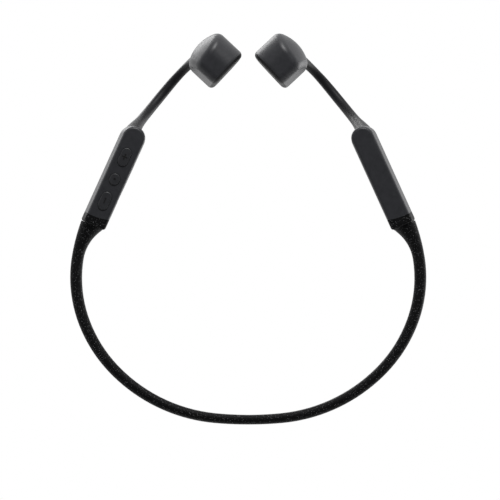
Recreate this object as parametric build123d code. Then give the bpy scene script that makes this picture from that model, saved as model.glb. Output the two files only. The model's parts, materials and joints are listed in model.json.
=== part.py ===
from build123d import *
import os
from math import cos, radians, sin, tan

# Open-ear bone conduction headphones, as worn: +Z is up, the wearer looks along -Y and their left is +X.
# Lengths are in millimetres. Each side is modelled as the wearer's left one and mirrored for the right.
# A side frame has x towards the front, y outwards, away from the head, and z up.

# ---------------------------------------------------------------- neckband
BAND_REAR_Y = 66.75  # centreline of the band at the back of the head
BAND_REAR_Z = 2.457
BAND_TILT = 4.3  # the band climbs this many degrees from its back to the boxes
BAND_RADII = (122.0, 56.6, 48.5, 44.2)  # tangent arcs, from the back round to one box
BAND_SWEEPS = (5.5, 40.9, 25.2, 42.8)
BAND_WIDTHS = (3.3, 3.4, 3.85, 4.1, 4.2)  # where the arcs start and end
BAND_HEIGHT = 4.9
BAND_CORNER = 0.46  # corner radius over width
FAIRING_LENGTH = 12.0  # the band's flared end, before a box
FAIRING_HEIGHT = 9.4
FAIRING_OUTER_FLARE = 0.7  # how far each flank leaves the plain band at the box
FAIRING_INNER_FLARE = 3.8
FAIRING_OVERRUN = 1.8
FAIRING_STEPS = 6
BAND_WIRE_R = 0.5
BAND_CABLE_R = 0.6
BAND_WIRE_UP = 1.0  # height above the centreline
BAND_CABLE_UP = -1.0
BAND_WIRE_TAIL = 9.0  # straight ends inside the boxes
BAND_CABLE_TAIL = 6.3

# ---------------------------------------------------------------- boxes
BOX_ORIGIN = (53.0, -5.05, 0.0)  # where the end boot meets the hard shell
BOX_LEAN = 24.4  # degrees between the box and straight ahead
BOX_TIP = 33.9  # length from the origin to the rounded front
BOX_REAR = -4.0  # back face of the end boot
BOX_WIDTH = 9.1
UNDER_WIDTH = 7.9  # the underside is narrower than the box
UNDER_SHIFT = -0.7  # and lies towards the head
BOX_FLOOR_Z = 2.2
PARTING_Z = 3.7  # the cover is below this, the shell above
WAIST_Z = 8.6  # full width from here up
BOX_TOP_FRONT_Z = 16.0
BOX_TOP_REAR_Z = 13.0
BOX_TOP_FILLET = 3.0
BOX_FLOOR_FILLET = 1.1
WALL = 1.1
CAVITY_REAR = 1.1
POSTS = (10.4, 17.5, 28.4)  # board supports on the cover, between the buttons
POST_R = 0.65
SEAL_WIDTH = 0.45
SEAL_HEIGHT = 0.5
BOX_REAR_FILLET = 0.9
BOOT_EDGE = ((-0.5, 6.0), (-0.9, 1.5), (0.5, -6.0))  # bowed line from the outer flank to the inner one
SPIGOT = (2.4, 5.6, 6.4)  # plug on the shell that the end boot grips
REAR_CLAMP = ((1.3, 4.3), (7.3, 10.9))  # each clamp block's extent along the box and in height
FRONT_CLAMP = ((28.7, 32.0), (9.2, 12.6))
CLAMP_WIDTH = 5.0

# ---------------------------------------------------------------- ear hooks
HOOK_ORIGIN = (38.3, -38.9, 0.0)
HOOK_LEAN = 39.3
HOOK_ROUTE = ((-7.2, -0.9, 9.3), (1.6, 0.0, 40.6), (28.3, 0.0, 42.75), (31.6, -4.2, 16.4))
HOOK_RADII = (19.0, 12.5)
HOOK_WIDTHS = (3.85, 2.75)  # at the box and at the pod
HOOK_DEPTHS = (5.4, 4.4)
HOOK_ROOT_FLARE = (7.5, 16.0)  # extra depth at the route's start, and how far along it lasts
HOOK_ROOT_SPREAD = (3.6, 28.0)  # the same for its width
HOOK_NECK_FLARE = (7.0, 13.0)  # extra depth at its end, and over how long
HOOK_NECK_SPREAD = (1.75, 13.0)
HOOK_CORNER = 0.46  # corner radius over width
HOOK_SECTIONS = (0, 0.05, 0.1, 0.15, 0.2, 0.28, 0.36, 0.6, 0.83, 0.88, 0.93, 1)  # places along the route
NECK_LENGTH = 12.0  # straight stub on the pod that the hook sleeve starts from
HOOK_WIRE_R = 0.5
HOOK_CABLE_R = 0.55
HOOK_CORE_OFFSET = 0.95  # wire and cable, each side of the centreline
FIT_GAP = 0.05

# ---------------------------------------------------------------- transducer pods
POD_ORIGIN = (12.15, -51.15, 0.0)  # rear end of the contact pad
POD_LEAN = 43.1
POD_LENGTH = 15.6
POD_HEIGHT = 21.0
POD_RAKE = 7.0  # the top leans back
POD_SECTIONS = ((-0.5, 8.2, 0.4), (10.5, 10.2, 3.2), (21.5, 7.8, 1.8))  # height, depth at the ends, bulge
POD_SIDE_DROP = 1.9  # the dome is this much shallower than the stated depth past its ends
POD_RIM = 0.3  # depth of the rim behind the contact pad's plane
POD_CORNERS = (3.4, 8.0, 7.0, 5.0)  # bottom rear, bottom front, top front, top rear
POD_FILLET = 3.0
POD_WALL = 1.1
PAD_PROUD = 0.8  # the pad stands this far out of its plane
PAD_FILLET = 1.8
FACE_PLATE = (1.1, 1.5)  # thickness, inset from the pod's outline
SPRING_PLATE = (1.7, 0.25, 6.2, 4.1)  # depth, thickness, outer and inner radius
COIL = (1.4, 3.4, 3.8, 3.2)
MAGNET = (2.6, 3.4, 2.9)  # depth, thickness, radius
YOKE = (2.4, 4.8, 5.0, 4.2)
YOKE_FLOOR = 1.2
YOKE_BOSS_R = 2.2  # seat in the shell that carries the yoke
POD_ROOM = 20.0  # deeper than any pod

# ---------------------------------------------------------------- buttons and electronics
BUTTON_LINE = -0.5  # how far the row of buttons lies from the box's axis
BUTTONS = {"volume_up": (22.4, 6.8), "multifunction": (13.9, 4.2), "volume_down": (5.6, 6.8)}
BUTTON_WIDTH = 3.7
BUTTON_PROUD = 0.5
BUTTON_FILLET = 0.45
BUTTON_GAP = 0.1
BUTTON_FLANGE = (0.6, 0.4)  # overhang and thickness
BUTTON_STEM = 0.35  # length of the stem that reaches for the switch
ENGRAVING = 0.2
SYMBOL_STROKE = (2.1, 0.5)
SYMBOL_DOT_R = 0.45
BOARD = (26.5, 5.2, 0.8)
BOARD_Z = 6.3
BOARD_ALONG = 15.9
SWITCH = (3.0, 3.0, 1.1)
PLUNGER = (0.65, 0.2)
CHIPS = ((20.0, 5.0, 4.2, 0.9), (12.4, 6.0, 4.4, 0.8), (6.6, 2.6, 2.6, 0.7))  # along, then size
MICROPHONE = (26.4, 3.4, 2.6, 1.0)
CONTACT_Z = 10.0
CONTACTS = (10.55, 12.85, 15.15, 17.45)
CONTACT_R = 0.5
CONTACT_RECESS = (15.6, 3.4, 0.3)
CONTACT_DEPTH = 1.9
MAGNETS = (8.2, 19.8)
HOLDING_MAGNET = (1.1, 1.0)
LIGHT = (25.0, 0.6)  # along, radius
LIGHT_LENGTH = 1.7
MICROPHONE_PORT = (27.6, 8.0, 0.45)  # along, height, radius
MESH = (1.1, 0.25)
BATTERY = (22.0, 5.6, 6.6)
BATTERY_CENTRE = (16.4, -0.5, 8.3)
BATTERY_FILLET = 0.8
BATTERY_BOARD = (0.8, 4.6, 4.4)
BATTERY_BOARD_DROP = 0.8  # its centre lies this far under the cell's

SIDES = ("left", "right")


def side_frame(origin, lean):
    """Frame of a left-hand part that leans inwards by lean degrees towards its front."""
    return Plane(origin=origin, x_dir=(-sin(radians(lean)), -cos(radians(lean)), 0), z_dir=(0, 0, 1))


BOX_FRAME = side_frame(BOX_ORIGIN, BOX_LEAN)
HOOK_FRAME = side_frame(HOOK_ORIGIN, HOOK_LEAN)
POD_FRAME = side_frame(POD_ORIGIN, POD_LEAN)
BAND_FRAME = Plane(
    origin=(0, BAND_REAR_Y, BAND_REAR_Z),
    x_dir=(-1, 0, 0),
    z_dir=(0, sin(radians(BAND_TILT)), cos(radians(BAND_TILT))),
)


def rounded(width, height, corner):
    """Rounded rectangle whose corner radius is a share of its smaller side."""
    return RectangleRounded(width, height, corner * min(width, height))


def across(path, share, roll_x):
    """Plane square to a path at a share of its length, with its x axis nearest to roll_x."""
    tangent = path.tangent_at(share)
    x_dir = roll_x - tangent * roll_x.dot(tangent)
    return Plane(origin=path.position_at(share), x_dir=x_dir, z_dir=tangent)


# ---------------------------------------------------------------- neckband


def band_half():
    """Centreline of half the band in the band's own frame, from the back to a box."""
    point, heading, arcs = Vector(0, 0, 0), 0.0, []
    for radius, sweep_angle in zip(BAND_RADII, BAND_SWEEPS):
        tangent = (cos(radians(heading)), sin(radians(heading)), 0)
        arcs.append(JernArc(start=point, tangent=tangent, radius=radius, arc_size=sweep_angle))
        point, heading = arcs[-1] @ 1, heading + sweep_angle
    return arcs


def band_sleeve():
    arcs = band_half()
    last = arcs[-1]
    plain_share = 1 - FAIRING_LENGTH / last.length
    arcs[-1] = last.trim(0, plain_share)
    up = Vector(0, 0, 1)
    body = None
    for i, arc in enumerate(arcs):
        ends = []
        for share, k in ((0, i), (1, i + 1)):
            plane = across(arc, share, up)
            ends.append(plane * rounded(BAND_HEIGHT, BAND_WIDTHS[k], BAND_CORNER))
        piece = sweep(ends, path=arc, multisection=True)
        body = piece if body is None else body + piece
    body += fairing(last.trim(plain_share, 1))
    whole = BAND_FRAME * (body + mirror(body, about=Plane.YZ))
    reach = 2 * BOX_WIDTH
    room = BOX_FRAME * Pos(BOX_REAR - FIT_GAP + reach / 2, 0, 0) * Box(reach, reach, 3 * reach)
    return whole - room - mirror(room, about=Plane.YZ)


def fairing(curve):
    """The band's end, swelling over a last stretch and then straight, to be cut to meet the end boot."""
    end = curve @ 1
    path = Wire([curve, Line(end, end + (curve % 1) * FAIRING_OVERRUN)])
    up = Vector(0, 0, 1)
    sections = []
    for k in range(FAIRING_STEPS + 1):
        share = k / FAIRING_STEPS
        swell = share**2
        width = BAND_WIDTHS[-1] + swell * (FAIRING_OUTER_FLARE + FAIRING_INNER_FLARE)
        height = BAND_HEIGHT + swell * (FAIRING_HEIGHT - BAND_HEIGHT)
        shift = swell * (FAIRING_INNER_FLARE - FAIRING_OUTER_FLARE) / 2
        sections.append(across(path, share, up) * Pos(0, -shift) * rounded(height, width, BAND_CORNER))
    return loft(sections)


def band_core(radius, up, tail):
    """A wire or cable that runs inside the band, a set height above its centreline, into both boxes."""
    arcs = band_half()
    end = arcs[-1] @ 1
    half = Wire(arcs + [Line(end, end + (arcs[-1] % 1) * tail)])
    tube = sweep(Plane(origin=(0, 0, up), x_dir=(0, 0, 1), z_dir=(1, 0, 0)) * Circle(radius), path=half)
    return BAND_FRAME * (tube + mirror(tube, about=Plane.YZ))


# ---------------------------------------------------------------- boxes


def capsule_outline(width, shift, rear, tip):
    """Long outline with a square rear and a round front, lying along x."""
    half = width / 2
    centre = tip - half
    rear_edge = Line((rear, shift + half), (rear, shift - half))
    inner = Line((rear, shift - half), (centre, shift - half))
    nose = ThreePointArc((centre, shift - half), (tip, shift), (centre, shift + half))
    outer = Line((centre, shift + half), (rear, shift + half))
    return make_face([rear_edge, inner, nose, outer])


def box_form(inset, rear):
    """Outer form of a box, or with an inset the room inside it, in the box's frame."""
    lower = capsule_outline(UNDER_WIDTH - 2 * inset, UNDER_SHIFT, rear, BOX_TIP - inset)
    upper = capsule_outline(BOX_WIDTH - 2 * inset, 0, rear, BOX_TIP - inset)
    floor_z = BOX_FLOOR_Z + inset
    body = loft([Pos(0, 0, floor_z) * lower, Pos(0, 0, WAIST_Z) * upper], ruled=True)
    body += extrude(Pos(0, 0, WAIST_Z) * upper, 2 * WAIST_Z)
    slope = (BOX_TOP_FRONT_Z - BOX_TOP_REAR_Z) / (BOX_TIP - BOX_REAR)
    top = Plane(
        origin=(BOX_REAR, 0, BOX_TOP_REAR_Z - inset), x_dir=(1, 0, slope), z_dir=(-slope, 0, 1)
    )
    body = split(body, bisect_by=top, keep=Keep.BOTTOM)
    body = fillet(long_edges(body, top=True), BOX_TOP_FILLET - inset)
    if not inset:
        body = fillet(long_edges(body, top=False), BOX_FLOOR_FILLET)
    return body


def long_edges(body, top):
    """Edges of a box's roof or floor, apart from the one across its back."""
    face = body.faces().sort_by(Axis.Z)[-1 if top else 0]
    return face.edges().sort_by(Axis.X)[1:]


def slab(low, high):
    """Everything between two heights."""
    size = 200
    return Pos(0, 0, (low + high) / 2) * Box(size, size, high - low)


def boot_region():
    """Everything behind the slightly bowed line where the end boot meets the shell."""
    outer, _, inner = BOOT_EDGE
    behind = 5 * BOX_REAR
    back = Polyline(inner, (behind, inner[1]), (behind, outer[1]), outer)
    return extrude(make_face([ThreePointArc(*BOOT_EDGE), back]), 4 * BOX_WIDTH)


def buttons():
    """The three keys of the control box, each with a stem and a retaining flange."""
    made = {}
    flange_width, flange_thickness = BUTTON_FLANGE
    for name, (along, length) in BUTTONS.items():
        low = BOX_FLOOR_Z - BUTTON_PROUD
        cap = extrude(SlotOverall(length, BUTTON_WIDTH), PARTING_Z + FIT_GAP - low)
        cap = fillet(cap.faces().sort_by(Axis.Z)[0].edges(), BUTTON_FILLET)
        flange = SlotOverall(length + 2 * flange_width, BUTTON_WIDTH + 2 * flange_width)
        cap += Pos(0, 0, PARTING_Z + FIT_GAP - low) * extrude(flange, flange_thickness)
        stem_z = PARTING_Z + FIT_GAP - low + flange_thickness
        cap += Pos(0, 0, stem_z) * extrude(Circle(PLUNGER[0]), BUTTON_STEM)
        cap -= extrude(key_symbol(name), ENGRAVING)
        made[name + "_button"] = Pos(along, BUTTON_LINE, low) * cap
    return made


def key_symbol(name):
    """Plus, dot or dash, in outline."""
    if name == "multifunction":
        return Circle(SYMBOL_DOT_R)
    long, wide = SYMBOL_STROKE
    dash = Rectangle(long, wide)
    return dash + Rectangle(wide, long) if name == "volume_up" else dash


def button_holes():
    holes = None
    for along, length in BUTTONS.values():
        slot = SlotOverall(length + 2 * BUTTON_GAP, BUTTON_WIDTH + 2 * BUTTON_GAP)
        hole = Pos(along, BUTTON_LINE, 0) * extrude(slot, PARTING_Z + 1)
        holes = hole if holes is None else holes + hole
    return holes


def box_parts(with_buttons, cores):
    """Shell, cover, seal, end boot and wire clamps of one box, in the box's frame."""
    form = box_form(0, BOX_REAR)
    form = fillet(form.faces().sort_by(Axis.X)[0].edges(), BOX_REAR_FILLET)
    region = boot_region()
    room = box_form(WALL, CAVITY_REAR)
    hard = form - region
    cover = hard & slab(0, PARTING_Z)
    posts = None
    for along in POSTS:
        post = Pos(along, BUTTON_LINE, PARTING_Z) * extrude(Circle(POST_R), BOARD_Z - PARTING_Z)
        posts = post if posts is None else posts + post
    shell = (hard & slab(PARTING_Z, 40)) - room
    ring = capsule_outline(UNDER_WIDTH - 2 * WALL + 2 * SEAL_WIDTH, UNDER_SHIFT, CAVITY_REAR - SEAL_WIDTH,
                           BOX_TIP - WALL + SEAL_WIDTH)
    ring = Pos(0, 0, PARTING_Z) * extrude(ring, SEAL_HEIGHT)
    seal = ring - room
    shell -= ring
    long, wide, tall = SPIGOT
    centre_z = (BOX_TOP_REAR_Z + BOX_FLOOR_Z) / 2
    spigot = Pos(-long / 2, 0, centre_z) * Box(long + 2, wide, tall)
    boot = (form & region) - spigot
    shell += spigot & region & form
    clamps = [block(*extent) & room for extent in (REAR_CLAMP, FRONT_CLAMP)]
    found = {"box_shell": shell, "box_cover": cover, "box_seal": seal, "end_boot": boot}
    found["wire_clamps"] = clamps[0] + clamps[1]
    if with_buttons:
        found["box_cover"] = cover + posts - button_holes()
        found["box_shell"] -= contact_recess() + charge_contacts() + status_light() + microphone_port()
    for name in ("box_shell", "end_boot", "wire_clamps"):
        for core in cores:
            found[name] -= core
    return found


def beside_flank():
    """Everything just outside a box's outer flank, so that the hook's root ends flush with it."""
    side, long = 2 * BOX_WIDTH, BOX_TIP - BOX_WIDTH / 2
    return Pos(long / 2, (BOX_WIDTH + side) / 2, side) * Box(long, side, 2 * side)


def block(along, height):
    """Block across a box between two places along it and two heights."""
    size = (along[1] - along[0], CLAMP_WIDTH, height[1] - height[0])
    return Pos(sum(along) / 2, 0, sum(height) / 2) * Box(*size)


# ---------------------------------------------------------------- electronics, in the box's frame


def inner_wall(along, height, depth):
    """Plane on the flank that faces the head, or a depth under it, looking outwards from the head."""
    return Plane(origin=(along, -BOX_WIDTH / 2 + depth, height), x_dir=(1, 0, 0), z_dir=(0, 1, 0))


def contact_recess():
    long, high, depth = CONTACT_RECESS
    middle = sum(CONTACTS) / len(CONTACTS)
    return extrude(inner_wall(middle, CONTACT_Z, -1) * SlotOverall(long, high), 1 + depth)


def pegs(places, height, depth, radius, length):
    """Group of round pieces square to the flank that faces the head."""
    made = [extrude(inner_wall(along, height, depth) * Circle(radius), length) for along in places]
    return Compound(children=made)


def charge_contacts():
    return pegs(CONTACTS, CONTACT_Z, CONTACT_RECESS[2], CONTACT_R, CONTACT_DEPTH)


def holding_magnets():
    return pegs(MAGNETS, CONTACT_Z, WALL, *HOLDING_MAGNET)


def status_light():
    return pegs(LIGHT[:1], CONTACT_Z, 0, LIGHT[1], LIGHT_LENGTH)


def microphone_port():
    along, height, radius = MICROPHONE_PORT
    return pegs((along,), height, -1, radius, 1 + WALL)


def microphone_mesh():
    along, height, _ = MICROPHONE_PORT
    return pegs((along,), height, WALL, *MESH)


def on_board(along, long, wide, thick, above=True):
    """Block on top of the main board, or hanging under it."""
    z = BOARD_Z + BOARD[2] + thick / 2 if above else BOARD_Z - thick / 2
    return Pos(along, BUTTON_LINE, z) * Box(long, wide, thick)


def key_switches():
    made = []
    for along, _ in BUTTONS.values():
        radius, height = PLUNGER
        stub = Pos(along, BUTTON_LINE, BOARD_Z - SWITCH[2] - height) * extrude(Circle(radius), height)
        made.append(on_board(along, *SWITCH, above=False) + stub)
    return Compound(children=made)


def control_parts():
    """What only the control box holds."""
    board = Pos(BOARD_ALONG, BUTTON_LINE, BOARD_Z + BOARD[2] / 2) * Box(*BOARD)
    found = {
        "main_board": board,
        "board_chips": Compound(children=[on_board(*chip) for chip in CHIPS]),
        "key_switches": key_switches(),
        "microphone": on_board(*MICROPHONE),
        "microphone_mesh": microphone_mesh(),
        "charge_contacts": charge_contacts(),
        "contact_magnets": holding_magnets(),
        "status_light": status_light(),
    }
    found.update(buttons())
    return found


def battery_parts():
    """What only the battery box holds."""
    cell = Pos(*BATTERY_CENTRE) * Box(*BATTERY)
    cell = fillet(cell.edges().filter_by(Axis.X), BATTERY_FILLET)
    along = BATTERY_CENTRE[0] + BATTERY[0] / 2 + BATTERY_BOARD[0] / 2
    board = Pos(along, BATTERY_CENTRE[1], BATTERY_CENTRE[2] - BATTERY_BOARD_DROP) * Box(*BATTERY_BOARD)
    return {"battery": cell, "battery_board": board}


# ---------------------------------------------------------------- ear hooks


def hook_path():
    return FilletPolyline(*HOOK_ROUTE, radius=list(HOOK_RADII))


def hook_form():
    """The hook's outer form, from inside the box to inside the pod, in the hook's frame."""
    path = hook_path()
    outwards = Vector(0, 1, 0)
    skew = tan(radians(HOOK_LEAN - BOX_LEAN))  # the root follows the box's own direction
    ends = []
    for share in HOOK_SECTIONS:
        along = share * path.length
        width = HOOK_WIDTHS[0] + share * (HOOK_WIDTHS[1] - HOOK_WIDTHS[0])
        depth = HOOK_DEPTHS[0] + share * (HOOK_DEPTHS[1] - HOOK_DEPTHS[0])
        root = flare(along, *HOOK_ROOT_FLARE)
        neck = flare(path.length - along, *HOOK_NECK_FLARE)
        width += flare(along, *HOOK_ROOT_SPREAD) + flare(path.length - along, *HOOK_NECK_SPREAD)
        profile = rounded(width, depth + root + neck, HOOK_CORNER)
        ends.append(across(path, share, outwards) * Pos(-root / 2 * skew, root / 2) * profile)
    return sweep(ends, path=path, multisection=True)


def flare(along, extra, reach):
    """How much a part has swollen a distance from its root, fading to nothing over its reach."""
    return extra * max(0, 1 - along / reach) ** 2


def hook_core(radius, offset):
    path = hook_path()
    return sweep(across(path, 0, Vector(0, 1, 0)) * Pos(0, offset) * Circle(radius), path=path)


# ---------------------------------------------------------------- transducer pods


def upright(depth):
    """Plane through a pod at a depth behind its pad, with x to the front and y up."""
    return Plane(origin=(0, depth, 0), x_dir=(1, 0, 0), z_dir=(0, -1, 0))


def pod_outline(inset):
    """The pod seen square to its pad."""
    shift = -tan(radians(POD_RAKE)) * POD_HEIGHT
    corners = ((0, 0), (POD_LENGTH, 0), (POD_LENGTH + shift, POD_HEIGHT), (shift, POD_HEIGHT))
    outline = make_face(FilletPolyline(*corners, radius=list(POD_CORNERS), close=True))
    return offset(outline, -inset) if inset else outline


def pod_prism(inset, near, far):
    """The outline drawn out between two depths behind the pad's plane."""
    return extrude(upright(far) * pod_outline(inset), far - near)


def pod_form(inset):
    """Outer form of a pod and its pad, or with an inset the room inside its shell."""
    slope = tan(radians(POD_RAKE))
    overrun = 3
    sections = []
    for height, depth, bulge in POD_SECTIONS:
        rear, front = -slope * height - overrun, POD_LENGTH - slope * height + overrun
        side, middle = depth - inset - POD_SIDE_DROP, (rear + front) / 2
        outer = ThreePointArc((rear, side), (middle, depth + bulge - inset), (front, side))
        rest = Polyline((front, side), (front, -overrun), (rear, -overrun), (rear, side))
        sections.append(Pos(0, 0, height) * make_face([outer, rest]))
    form = loft(sections) & pod_prism(inset, POD_RIM if inset else -PAD_PROUD, POD_ROOM)
    form = fillet(form.edges().filter_by(on_outside), POD_FILLET - inset)
    if not inset:
        form = fillet(form.faces().sort_by(Axis.Y)[0].edges(), PAD_FILLET)
    return form


def on_outside(edge):
    """Whether an edge of a pod lies on the side away from its pad."""
    return all(edge.position_at(share).Y > 4 for share in (0.1, 0.5, 0.9))


def disc(depth, thickness, radius, hole=0.0):
    """Round driver part, centred in the pod and square to its pad."""
    centre_x = POD_LENGTH / 2 - tan(radians(POD_RAKE)) * POD_HEIGHT / 2
    face = Circle(radius) - Circle(hole) if hole else Circle(radius)
    return extrude(upright(depth + thickness) * Pos(centre_x, POD_HEIGHT / 2) * face, thickness)


def pod_parts(neck, cores):
    """Shell, pad and driver of one pod, in the pod's frame."""
    whole, room = pod_form(0), pod_form(POD_WALL)
    form = whole & pod_prism(-1, POD_RIM, POD_ROOM)
    pad = whole & pod_prism(-1, -2 * PAD_PROUD, POD_RIM)
    boss = disc(YOKE[0] + YOKE[1], POD_ROOM, YOKE_BOSS_R) & form
    shell = (form - room) + boss + (neck - room) + (neck & form)
    thickness, plate_inset = FACE_PLATE
    plate = pod_prism(plate_inset, POD_RIM, POD_RIM + thickness)
    spring = disc(*SPRING_PLATE)
    yoke = disc(*YOKE) + disc(YOKE[0] + YOKE[1] - YOKE_FLOOR, YOKE_FLOOR, YOKE[2])
    for core in cores:
        shell -= core
    return {
        "pod_shell": shell,
        "contact_pad": pad,
        "face_plate": plate,
        "spring_plate": spring,
        "voice_coil": disc(*COIL),
        "driver_magnet": disc(*MAGNET),
        "driver_yoke": yoke,
    }


# ---------------------------------------------------------------- assembly


def hook_parts():
    """Sleeve, wire and cable of a hook, and the neck of the pod that it starts from, in the hook's frame."""
    path = hook_path()
    form = hook_form()
    neck_plane = across(path, 1 - NECK_LENGTH / path.length, Vector(0, 1, 0))
    reach = 2 * NECK_LENGTH
    neck_zone = neck_plane * Pos(0, 0, reach / 2) * Box(reach, reach, reach)
    gap_zone = neck_plane * Pos(0, 0, reach / 2 - FIT_GAP) * Box(reach, reach, reach)
    wire = hook_core(HOOK_WIRE_R, HOOK_CORE_OFFSET)
    cable = hook_core(HOOK_CABLE_R, -HOOK_CORE_OFFSET)
    return form - gap_zone, form & neck_zone, wire, cable


def side_parts():
    """Every piece of both sides, by node name, in the object's frame."""
    box_place, hook_place, pod_place = BOX_FRAME.location, HOOK_FRAME.location, POD_FRAME.location
    sleeve, neck, wire, cable = hook_parts()
    band_cores = [
        band_core(BAND_WIRE_R, BAND_WIRE_UP, BAND_WIRE_TAIL),
        band_core(BAND_CABLE_R, BAND_CABLE_UP, BAND_CABLE_TAIL),
    ]
    to_box = box_place.inverse()
    cores = [to_box * core for core in band_cores]
    cores += [to_box * hook_place * core for core in (wire, cable)]
    to_pod = pod_place.inverse() * hook_place
    loose_cores = [hook_core(HOOK_WIRE_R + FIT_GAP, HOOK_CORE_OFFSET),
                   hook_core(HOOK_CABLE_R + FIT_GAP, -HOOK_CORE_OFFSET)]
    pod = pod_parts(to_pod * neck, [to_pod * core for core in loose_cores])
    to_hook = hook_place.inverse() * box_place
    sleeve = sleeve - to_hook * (box_form(0, BOX_REAR) + beside_flank()) - wire - cable
    hook = {"hook_sleeve": sleeve, "hook_wire": wire, "hook_cable": cable}
    found = {}
    for side in SIDES:
        control = side == "right"
        box = box_parts(control, cores)
        extras = control_parts() if control else battery_parts()
        placed = {f"{side}_{name}": box_place * shape for name, shape in box.items()}
        placed.update({name: box_place * shape for name, shape in extras.items()})
        placed.update({f"{side}_{name}": hook_place * shape for name, shape in hook.items()})
        placed.update({f"{side}_{name}": pod_place * shape for name, shape in pod.items()})
        for name, shape in placed.items():
            found[name] = mirror(shape, about=Plane.YZ) if control else shape
    return found, band_cores


def main():
    os.makedirs("parts", exist_ok=True)
    nodes, (wire, cable) = side_parts()
    nodes["neckband_sleeve"] = band_sleeve() - wire - cable
    nodes["neckband_wire"] = wire
    nodes["neckband_cable"] = cable
    for name, shape in nodes.items():
        export_step(shape, f"parts/{name}.step")


main()
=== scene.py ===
import json
import math
import bmesh
import bpy
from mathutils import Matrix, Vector


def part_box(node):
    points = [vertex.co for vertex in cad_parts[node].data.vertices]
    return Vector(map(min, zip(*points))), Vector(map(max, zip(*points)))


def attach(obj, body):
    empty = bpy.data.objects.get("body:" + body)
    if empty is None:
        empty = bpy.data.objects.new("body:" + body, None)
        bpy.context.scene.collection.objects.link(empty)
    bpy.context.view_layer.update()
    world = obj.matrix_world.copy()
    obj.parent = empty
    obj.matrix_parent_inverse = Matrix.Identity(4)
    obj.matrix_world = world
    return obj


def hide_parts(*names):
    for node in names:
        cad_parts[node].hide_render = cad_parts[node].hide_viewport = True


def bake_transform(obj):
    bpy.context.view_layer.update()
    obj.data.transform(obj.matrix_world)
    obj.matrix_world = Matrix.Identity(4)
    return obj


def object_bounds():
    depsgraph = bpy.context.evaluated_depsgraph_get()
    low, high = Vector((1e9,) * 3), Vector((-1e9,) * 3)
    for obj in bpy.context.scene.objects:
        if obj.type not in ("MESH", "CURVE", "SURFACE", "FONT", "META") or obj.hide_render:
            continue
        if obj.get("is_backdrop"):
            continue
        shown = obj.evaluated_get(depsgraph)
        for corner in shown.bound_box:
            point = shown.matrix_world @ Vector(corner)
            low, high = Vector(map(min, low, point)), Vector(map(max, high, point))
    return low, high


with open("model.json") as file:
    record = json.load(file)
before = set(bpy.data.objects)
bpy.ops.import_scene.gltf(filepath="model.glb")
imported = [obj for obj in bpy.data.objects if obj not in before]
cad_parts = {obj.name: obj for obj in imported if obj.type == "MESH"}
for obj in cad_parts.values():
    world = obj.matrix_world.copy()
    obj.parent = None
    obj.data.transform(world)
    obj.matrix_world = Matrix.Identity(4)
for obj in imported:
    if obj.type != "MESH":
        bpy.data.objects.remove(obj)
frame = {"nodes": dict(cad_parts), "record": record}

MM = 0.001
FLOOR_GAP = 0.6 * MM  # the floor lies this far under the object
FLOOR_SIZE = 400.0
CAMERA_DISTANCE = 2.0
CAMERA_CENTRE = (0.62 * MM, 7.29 * MM)
LENS, SENSOR_WIDTH = 411.5, 36
CLIP_END = 20
SKY_LOW, SKY_HIGH = -0.5, -0.03  # heights of a ray between which the sky runs from dark to white
SLICE = 2.2 * MM  # length of the short faces that let a soft piece bend
FAN_STEP, FAN_CUTS = 2.7, 45  # degrees between the cuts across half the neckband, and how many there are
FAN_CENTRE, BEND_END = 0.25, 0.20  # places along the neckband's depth, as shares of it from the front
SHARP_EDGE = 38  # degrees between faces above which an edge stays sharp
WELD = 1e-7  # metres within which points of a mesh count as one
SHADE_SHEET_DEPTH, SHADE_SHEET_THICKNESS = 0.19 * MM, 0.06 * MM  # painted shade in a symbol's engraving, a dark sheet laid where the recess has only shade: its place in the button, and its thickness
CROSS_RISE = 1.1  # the plus sign's second stroke is this much thicker, so the two never share a face
STROKE_LONG, STROKE_WIDE, DOT = 2.0 * MM, 0.42 * MM, 0.58 * MM
COLOUR_A, COLOUR_B, COLOUR_OUT = 6, 7, 2  # the mix node's colour sockets

cad_low, cad_high = [list(corner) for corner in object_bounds()]
nodes = frame["nodes"]


def middle(node):
    low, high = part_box(node)
    return (low + high) / 2


# ---------------------------------------------------------------- materials


def new_material(name):
    made = bpy.data.materials.new(name)
    made.use_nodes = True
    tree = made.node_tree
    shader = tree.nodes["Principled BSDF"]
    coords = tree.nodes.new("ShaderNodeTexCoord").outputs["Object"]
    return made, tree, shader, coords


def noise(tree, coords, size, detail=3.0, rough=0.55, stretch=None):
    """Noise whose grain has the given size in metres."""
    if stretch:
        mapping = tree.nodes.new("ShaderNodeMapping")
        mapping.inputs["Scale"].default_value = stretch
        tree.links.new(coords, mapping.inputs["Vector"])
        coords = mapping.outputs["Vector"]
    made = tree.nodes.new("ShaderNodeTexNoise")
    made.inputs["Scale"].default_value = 1 / size
    made.inputs["Detail"].default_value = detail
    made.inputs["Roughness"].default_value = rough
    tree.links.new(coords, made.inputs["Vector"])
    return made.outputs["Fac"]


def cells(tree, coords, size, feature="F1"):
    """Distance to the nearest of scattered points, or to the edge between two of their cells."""
    made = tree.nodes.new("ShaderNodeTexVoronoi")
    made.feature = feature
    made.inputs["Scale"].default_value = 1 / size
    tree.links.new(coords, made.inputs["Vector"])
    return made.outputs["Distance"]


def ramp(tree, value, low, high, from_low=0.3, from_high=0.7):
    """Number that runs from low to high as value does between its two limits."""
    made = tree.nodes.new("ShaderNodeMapRange")
    made.inputs["From Min"].default_value = from_low
    made.inputs["From Max"].default_value = from_high
    made.inputs["To Min"].default_value = low
    made.inputs["To Max"].default_value = high
    tree.links.new(value, made.inputs["Value"])
    return made.outputs["Result"]


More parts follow.
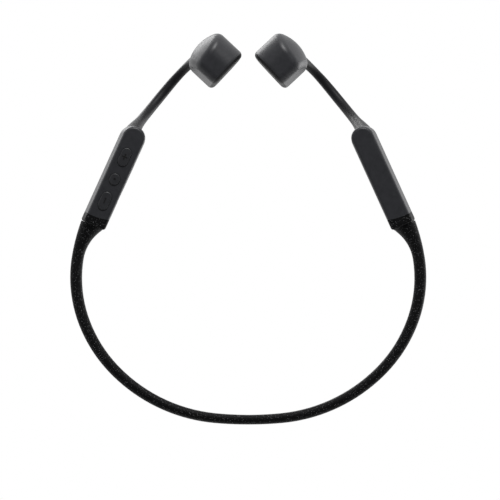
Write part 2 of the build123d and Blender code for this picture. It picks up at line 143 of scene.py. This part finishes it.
def blend_colours(tree, factor, first, second):
    """Mix of two colours, either of which may be another mix's output."""
    made = tree.nodes.new("ShaderNodeMix")
    made.data_type = "RGBA"
    tree.links.new(factor, made.inputs["Factor"])
    for key, colour in ((COLOUR_A, first), (COLOUR_B, second)):
        if isinstance(colour, bpy.types.NodeSocket):
            tree.links.new(colour, made.inputs[key])
        else:
            made.inputs[key].default_value = (*colour, 1)
    return made.outputs[COLOUR_OUT]


def bump(tree, shader, height, strength, depth):
    """Fine relief from a height that runs from 0 to 1; depth is in metres."""
    made = tree.nodes.new("ShaderNodeBump")
    made.inputs["Strength"].default_value = strength
    made.inputs["Distance"].default_value = depth
    tree.links.new(height, made.inputs["Height"])
    tree.links.new(made.outputs["Normal"], shader.inputs["Normal"])


def speckle(tree, coords, spacing, rarity):
    """Small dots of uneven strength, about one per spacing; the rarer, the fewer of them are strong."""
    dots = tree.nodes.new("ShaderNodeTexVoronoi")
    dots.inputs["Scale"].default_value = 1 / spacing
    tree.links.new(coords, dots.inputs["Vector"])
    parts = tree.nodes.new("ShaderNodeSeparateXYZ")
    tree.links.new(dots.outputs["Color"], parts.inputs["Vector"])
    product = tree.nodes.new("ShaderNodeMath")
    product.operation = "MULTIPLY"
    tree.links.new(ramp(tree, dots.outputs["Distance"], 1, 0, 0.14, 0.30), product.inputs[0])
    tree.links.new(ramp(tree, parts.outputs["X"], 0, 1, rarity, 1), product.inputs[1])
    return product.outputs["Value"]


def grained(name, dark, light, rough, grain, relief, specks=None, **fixed):
    """Moulded surface: two close tones, uneven gloss, fine relief and, if asked, pale specks."""
    made, tree, shader, coords = new_material(name)
    broad = noise(tree, coords, grain * 12)
    fine = noise(tree, coords, grain, 4.0, 0.6)
    colour = blend_colours(tree, ramp(tree, broad, 0, 1), dark, light)
    if specks:
        speck_colour, spacing, rarity = specks
        colour = blend_colours(tree, speckle(tree, coords, spacing, rarity), colour, speck_colour)
    tree.links.new(colour, shader.inputs["Base Color"])
    tree.links.new(ramp(tree, fine, rough[0], rough[1]), shader.inputs["Roughness"])
    bump(tree, shader, fine, relief, grain * 0.35)
    for key, value in fixed.items():
        shader.inputs[key.replace("_", " ")].default_value = value
    return made


def metal(name, dark, light, rough, grain, stretch=(1, 1, 1), relief=0.15):
    """Worked metal with grain drawn out along an axis."""
    made, tree, shader, coords = new_material(name)
    streaks = noise(tree, coords, grain, 4.0, 0.6, stretch)
    broad = noise(tree, coords, grain * 20)
    tree.links.new(blend_colours(tree, ramp(tree, broad, 0, 1), dark, light), shader.inputs["Base Color"])
    tree.links.new(ramp(tree, streaks, rough[0], rough[1]), shader.inputs["Roughness"])
    shader.inputs["Metallic"].default_value = 1
    bump(tree, shader, streaks, relief, grain * 0.2)
    return made


def wound(name):
    """Enamelled copper in fine turns."""
    made, tree, shader, coords = new_material(name)
    wave = tree.nodes.new("ShaderNodeTexWave")
    wave.bands_direction = "DIAGONAL"
    wave.inputs["Scale"].default_value = 1 / (1.6 * MM)
    wave.inputs["Distortion"].default_value = 0.4
    tree.links.new(coords, wave.inputs["Vector"])
    turns = wave.outputs["Fac"]
    colour = blend_colours(tree, turns, (0.30, 0.09, 0.03), (0.72, 0.30, 0.13))
    tree.links.new(colour, shader.inputs["Base Color"])
    tree.links.new(ramp(tree, turns, 0.45, 0.25, 0, 1), shader.inputs["Roughness"])
    shader.inputs["Metallic"].default_value = 1
    bump(tree, shader, turns, 0.5, 0.1 * MM)
    return made


def board_material():
    """Green solder mask over faint copper tracks."""
    made, tree, shader, coords = new_material("solder_mask")
    tracks = cells(tree, coords, 1.3 * MM, "DISTANCE_TO_EDGE")
    on_track = ramp(tree, tracks, 1, 0, 0.03, 0.08)
    mask = blend_colours(tree, on_track, (0.006, 0.055, 0.022), (0.014, 0.14, 0.05))
    dots = cells(tree, coords, 2.1 * MM)
    colour = blend_colours(tree, ramp(tree, dots, 1, 0, 0.10, 0.14), mask, (0.75, 0.55, 0.24))
    tree.links.new(colour, shader.inputs["Base Color"])
    tree.links.new(ramp(tree, noise(tree, coords, 0.4 * MM), 0.28, 0.42), shader.inputs["Roughness"])
    bump(tree, shader, tracks, 0.2, 0.05 * MM)
    return made


def mesh_material():
    """Woven wire cloth."""
    made, tree, shader, coords = new_material("woven_mesh")
    weave = cells(tree, coords, 0.16 * MM)
    colour = blend_colours(tree, ramp(tree, weave, 0, 1, 0.2, 0.45), (0.01, 0.01, 0.01), (0.32, 0.32, 0.33))
    tree.links.new(colour, shader.inputs["Base Color"])
    tree.links.new(ramp(tree, weave, 0.5, 0.3, 0.2, 0.5), shader.inputs["Roughness"])
    shader.inputs["Metallic"].default_value = 1
    bump(tree, shader, weave, 0.8, 0.06 * MM)
    return made


MATERIALS = {
    "band_silicone": grained(
        "band_silicone", (0.0015, 0.0015, 0.0018), (0.0035, 0.0035, 0.004), (0.50, 0.68), 0.16 * MM, 0.5,
        specks=((0.30, 0.30, 0.31), 0.42 * MM, 0.35), Specular_IOR_Level=0.16),
    "hook_silicone": grained(
        "hook_silicone", (0.008, 0.008, 0.0095), (0.013, 0.013, 0.015), (0.42, 0.56), 0.2 * MM, 0.25,
        specks=((0.035, 0.035, 0.038), 0.8 * MM, 0.5), Specular_IOR_Level=0.24),
    "pad_silicone": grained(
        "pad_silicone", (0.004, 0.004, 0.005), (0.008, 0.008, 0.009), (0.5, 0.66), 0.14 * MM, 0.4,
        Specular_IOR_Level=0.4),
    "shell": grained(
        "shell", (0.024, 0.025, 0.029), (0.034, 0.035, 0.040), (0.36, 0.50), 0.13 * MM, 0.22,
        Specular_IOR_Level=0.55),
    "cover": grained(
        "cover", (0.024, 0.025, 0.029), (0.034, 0.035, 0.040), (0.36, 0.5), 0.13 * MM, 0.25,
        Specular_IOR_Level=0.5),
    "keys": grained(
        "keys", (0.022, 0.023, 0.026), (0.031, 0.032, 0.036), (0.34, 0.48), 0.12 * MM, 0.2,
        Specular_IOR_Level=0.5),
    "spring_wire": metal(
        "spring_wire", (0.36, 0.35, 0.33), (0.52, 0.51, 0.48), (0.22, 0.42), 0.1 * MM, (1, 0.15, 1)),
    "cable": grained("cable", (0.02, 0.02, 0.024), (0.045, 0.045, 0.05), (0.4, 0.5), 0.2 * MM, 0.2),
    "seal": grained("seal", (0.012, 0.03, 0.075), (0.02, 0.045, 0.10), (0.5, 0.65), 0.15 * MM, 0.2),
    "clamp": grained("clamp", (0.03, 0.03, 0.032), (0.055, 0.055, 0.058), (0.45, 0.6), 0.2 * MM, 0.3),
    "spring_steel": metal(
        "spring_steel", (0.45, 0.45, 0.46), (0.62, 0.62, 0.63), (0.25, 0.4), 0.1 * MM, (1, 1, 0.2)),
    "coil_copper": wound("coil_copper"),
    "magnet": metal("magnet", (0.55, 0.55, 0.57), (0.7, 0.7, 0.72), (0.12, 0.24), 0.25 * MM),
    "yoke_steel": metal("yoke_steel", (0.3, 0.3, 0.31), (0.45, 0.45, 0.46), (0.3, 0.48), 0.2 * MM),
    "cell_foil": metal("cell_foil", (0.5, 0.51, 0.52), (0.66, 0.67, 0.68), (0.3, 0.5), 0.35 * MM, relief=0.6),
    "board": board_material(),
    "chip": grained("chip", (0.012, 0.012, 0.013), (0.02, 0.02, 0.021), (0.42, 0.6), 0.1 * MM, 0.3),
    "mesh": mesh_material(),
    "contact_gold": metal(
        "contact_gold", (0.72, 0.5, 0.18), (0.86, 0.64, 0.28), (0.16, 0.3), 0.12 * MM),
    # painted shade: near-black colour for the sheets in the key engravings, standing in for the shadow in the
    # recesses
    "symbol_shade": grained("symbol_shade", (0.003, 0.003, 0.003), (0.006, 0.006, 0.006), (0.5, 0.7), 0.1 * MM, 0.2),
    "light_pipe": grained("light_pipe", (0.5, 0.52, 0.54), (0.66, 0.68, 0.7), (0.25, 0.4), 0.2 * MM, 0.1,
                          Transmission_Weight=0.4),
}


def dress(obj, slot_name):
    obj.data.materials.clear()
    obj.data.materials.append(MATERIALS[slot_name])


slot_of = {entry["node"]: entry["material_slot"] for entry in frame["record"]["subparts"]}
for node, obj in nodes.items():
    obj.data.materials.clear()
    obj.data.materials.append(MATERIALS[slot_of[node]])


# ---------------------------------------------------------------- pieces that bend


def cut_copy(node, name, keep_side=0, slices=()):
    """Copy of a CAD node's mesh, or of its half on one side, cut across at each (point, normal)."""
    mesh = bpy.data.meshes.new(name)
    work = bmesh.new()
    work.from_mesh(nodes[node].data)
    bmesh.ops.remove_doubles(work, verts=work.verts, dist=WELD)
    if keep_side:
        everything = work.verts[:] + work.edges[:] + work.faces[:]
        cut = bmesh.ops.bisect_plane(
            work, geom=everything, dist=WELD, plane_co=(0, 0, 0), plane_no=(-keep_side, 0, 0),
            clear_outer=True)
        rim = [piece for piece in cut["geom_cut"] if isinstance(piece, bmesh.types.BMEdge)]
        bmesh.ops.triangle_fill(work, use_beauty=True, use_dissolve=False, edges=rim)
    for point, normal in slices:
        everything = work.verts[:] + work.edges[:] + work.faces[:]
        bmesh.ops.bisect_plane(work, geom=everything, dist=WELD, plane_co=point, plane_no=normal)
    bmesh.ops.recalc_face_normals(work, faces=work.faces)
    work.to_mesh(mesh)
    work.free()
    made = bpy.data.objects.new(name, mesh)
    bpy.context.scene.collection.objects.link(made)
    for face in mesh.polygons:
        face.use_smooth = True
    mesh.set_sharp_from_angle(angle=math.radians(SHARP_EDGE))
    dress(made, slot_of[node])
    return made


sleeve_low, sleeve_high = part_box("neckband_sleeve")
sleeve_depth = sleeve_high.y - sleeve_low.y
fan_centre = Vector((0, sleeve_low.y + FAN_CENTRE * sleeve_depth, 0))
for side, sign in (("left", 1), ("right", -1)):
    fan = []
    for step in range(1, FAN_CUTS + 1):
        angle = math.radians(90 - FAN_STEP * step)
        fan.append((fan_centre, Vector((-sign * math.sin(angle), math.cos(angle), 0))))
    for node in ("neckband_sleeve", "neckband_wire", "neckband_cable"):
        half = cut_copy(node, f"{node}_{side}_half", sign, fan)
        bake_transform(half)
        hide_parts(node)

for side, sign in (("left", 1), ("right", -1)):
    low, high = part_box(f"{side}_hook_sleeve")
    rear = Vector((low.x if sign < 0 else high.x, high.y, 0))
    front = Vector((high.x if sign < 0 else low.x, low.y, 0))
    along = (front - rear).normalized()
    slices = []
    count = int((front - rear).length / SLICE)
    for step in range(1, count):
        slices.append((rear + along * (step * SLICE), along))
    for step in range(1, int((high.z - low.z) / SLICE)):
        slices.append((Vector((0, 0, low.z + step * SLICE)), Vector((0, 0, 1))))
    for node in (f"{side}_hook_sleeve", f"{side}_hook_wire", f"{side}_hook_cable"):
        soft = cut_copy(node, f"{node}_soft", slices=slices)
        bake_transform(soft)
        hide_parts(node)


# ---------------------------------------------------------------- key symbols


def bar(name, body, centre, size, turn):
    """Thin dark sheet at the bottom of an engraved stroke, painted shade standing in for the recess's shadow.
    """
    bpy.ops.mesh.primitive_cube_add(size=1, location=centre, rotation=(0, 0, turn))
    made = bpy.context.object
    made.name = name
    made.scale = size
    made.data.materials.append(MATERIALS["symbol_shade"])
    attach(made, body)


row = middle("volume_up_button") - middle("volume_down_button")
turn = math.atan2(row.y, row.x)
# each key's engraving gets a near-black sheet at its floor: painted shade in the recess
for key in ("volume_up", "volume_down", "multifunction"):
    low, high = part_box(f"{key}_button")
    centre = ((low.x + high.x) / 2, (low.y + high.y) / 2, low.z + SHADE_SHEET_DEPTH)
    if key == "multifunction":
        bar("symbol_dot", f"{key}_key", centre, (DOT, DOT, SHADE_SHEET_THICKNESS), turn)
        continue
    bar(f"symbol_{key}", f"{key}_key", centre, (STROKE_LONG, STROKE_WIDE, SHADE_SHEET_THICKNESS), turn)
    if key == "volume_up":
        size = (STROKE_WIDE, STROKE_LONG, SHADE_SHEET_THICKNESS * CROSS_RISE)
        bar("symbol_cross_stroke", f"{key}_key", centre, size, turn)


# ---------------------------------------------------------------- room, light and camera

world = bpy.data.worlds.new("studio")
bpy.context.scene.world = world
world.use_nodes = True
tree = world.node_tree
background = tree.nodes["Background"]
direction = tree.nodes.new("ShaderNodeTexCoord").outputs["Generated"]
split = tree.nodes.new("ShaderNodeSeparateXYZ")
tree.links.new(direction, split.inputs["Vector"])
height = ramp(tree, split.outputs["Z"], 0, 1, SKY_LOW, SKY_HIGH)
shade = blend_colours(tree, height, (0.16, 0.16, 0.165), (1, 1, 1))
tree.links.new(shade, background.inputs["Color"])
background.inputs["Strength"].default_value = 1.0

bpy.ops.mesh.primitive_plane_add(size=FLOOR_SIZE, location=(0, 0, cad_low[2] - FLOOR_GAP))
floor = bpy.context.object
floor.name = "studio_floor"
floor_material, floor_tree, floor_shader, floor_coords = new_material("pale_floor")
patches = noise(floor_tree, floor_coords, 0.5)
tone = blend_colours(floor_tree, patches, (0.91, 0.91, 0.91), (0.93, 0.93, 0.93))
floor_tree.links.new(tone, floor_shader.inputs["Base Color"])
floor_shader.inputs["Roughness"].default_value = 0.8
floor.data.materials.append(floor_material)
floor.visible_shadow = False
floor.visible_diffuse = False
floor.visible_glossy = False
floor.visible_transmission = False
floor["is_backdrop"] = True


def soft_light(name, place, size, power):
    """Square area light, unseen by the camera, that faces the object."""
    data = bpy.data.lights.new(name, "AREA")
    data.size = size
    data.energy = power
    light = bpy.data.objects.new(name, data)
    light.location = place
    light.rotation_euler = (-Vector(place)).to_track_quat("-Z", "Y").to_euler()
    light.visible_camera = False
    bpy.context.scene.collection.objects.link(light)


soft_light("key", (-0.5, -0.7, 0.8), 0.6, 5)
soft_light("fill", (0.8, 0.1, 0.5), 0.6, 3)
soft_light("under_front", (0.12, -0.8, -0.55), 0.25, 5)

camera_data = bpy.data.cameras.new("camera")
camera_data.lens = LENS
camera_data.sensor_width = SENSOR_WIDTH
camera_data.clip_start = CAMERA_DISTANCE + cad_low[2] - FLOOR_GAP / 2
camera_data.clip_end = CLIP_END
camera = bpy.data.objects.new("camera", camera_data)
camera.location = (*CAMERA_CENTRE, -CAMERA_DISTANCE)
camera.rotation_euler = (math.pi, 0, 0)
bpy.context.scene.collection.objects.link(camera)
bpy.context.scene.camera = camera
bpy.context.scene.view_settings.view_transform = "Standard"

low, high = [list(corner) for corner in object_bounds()]
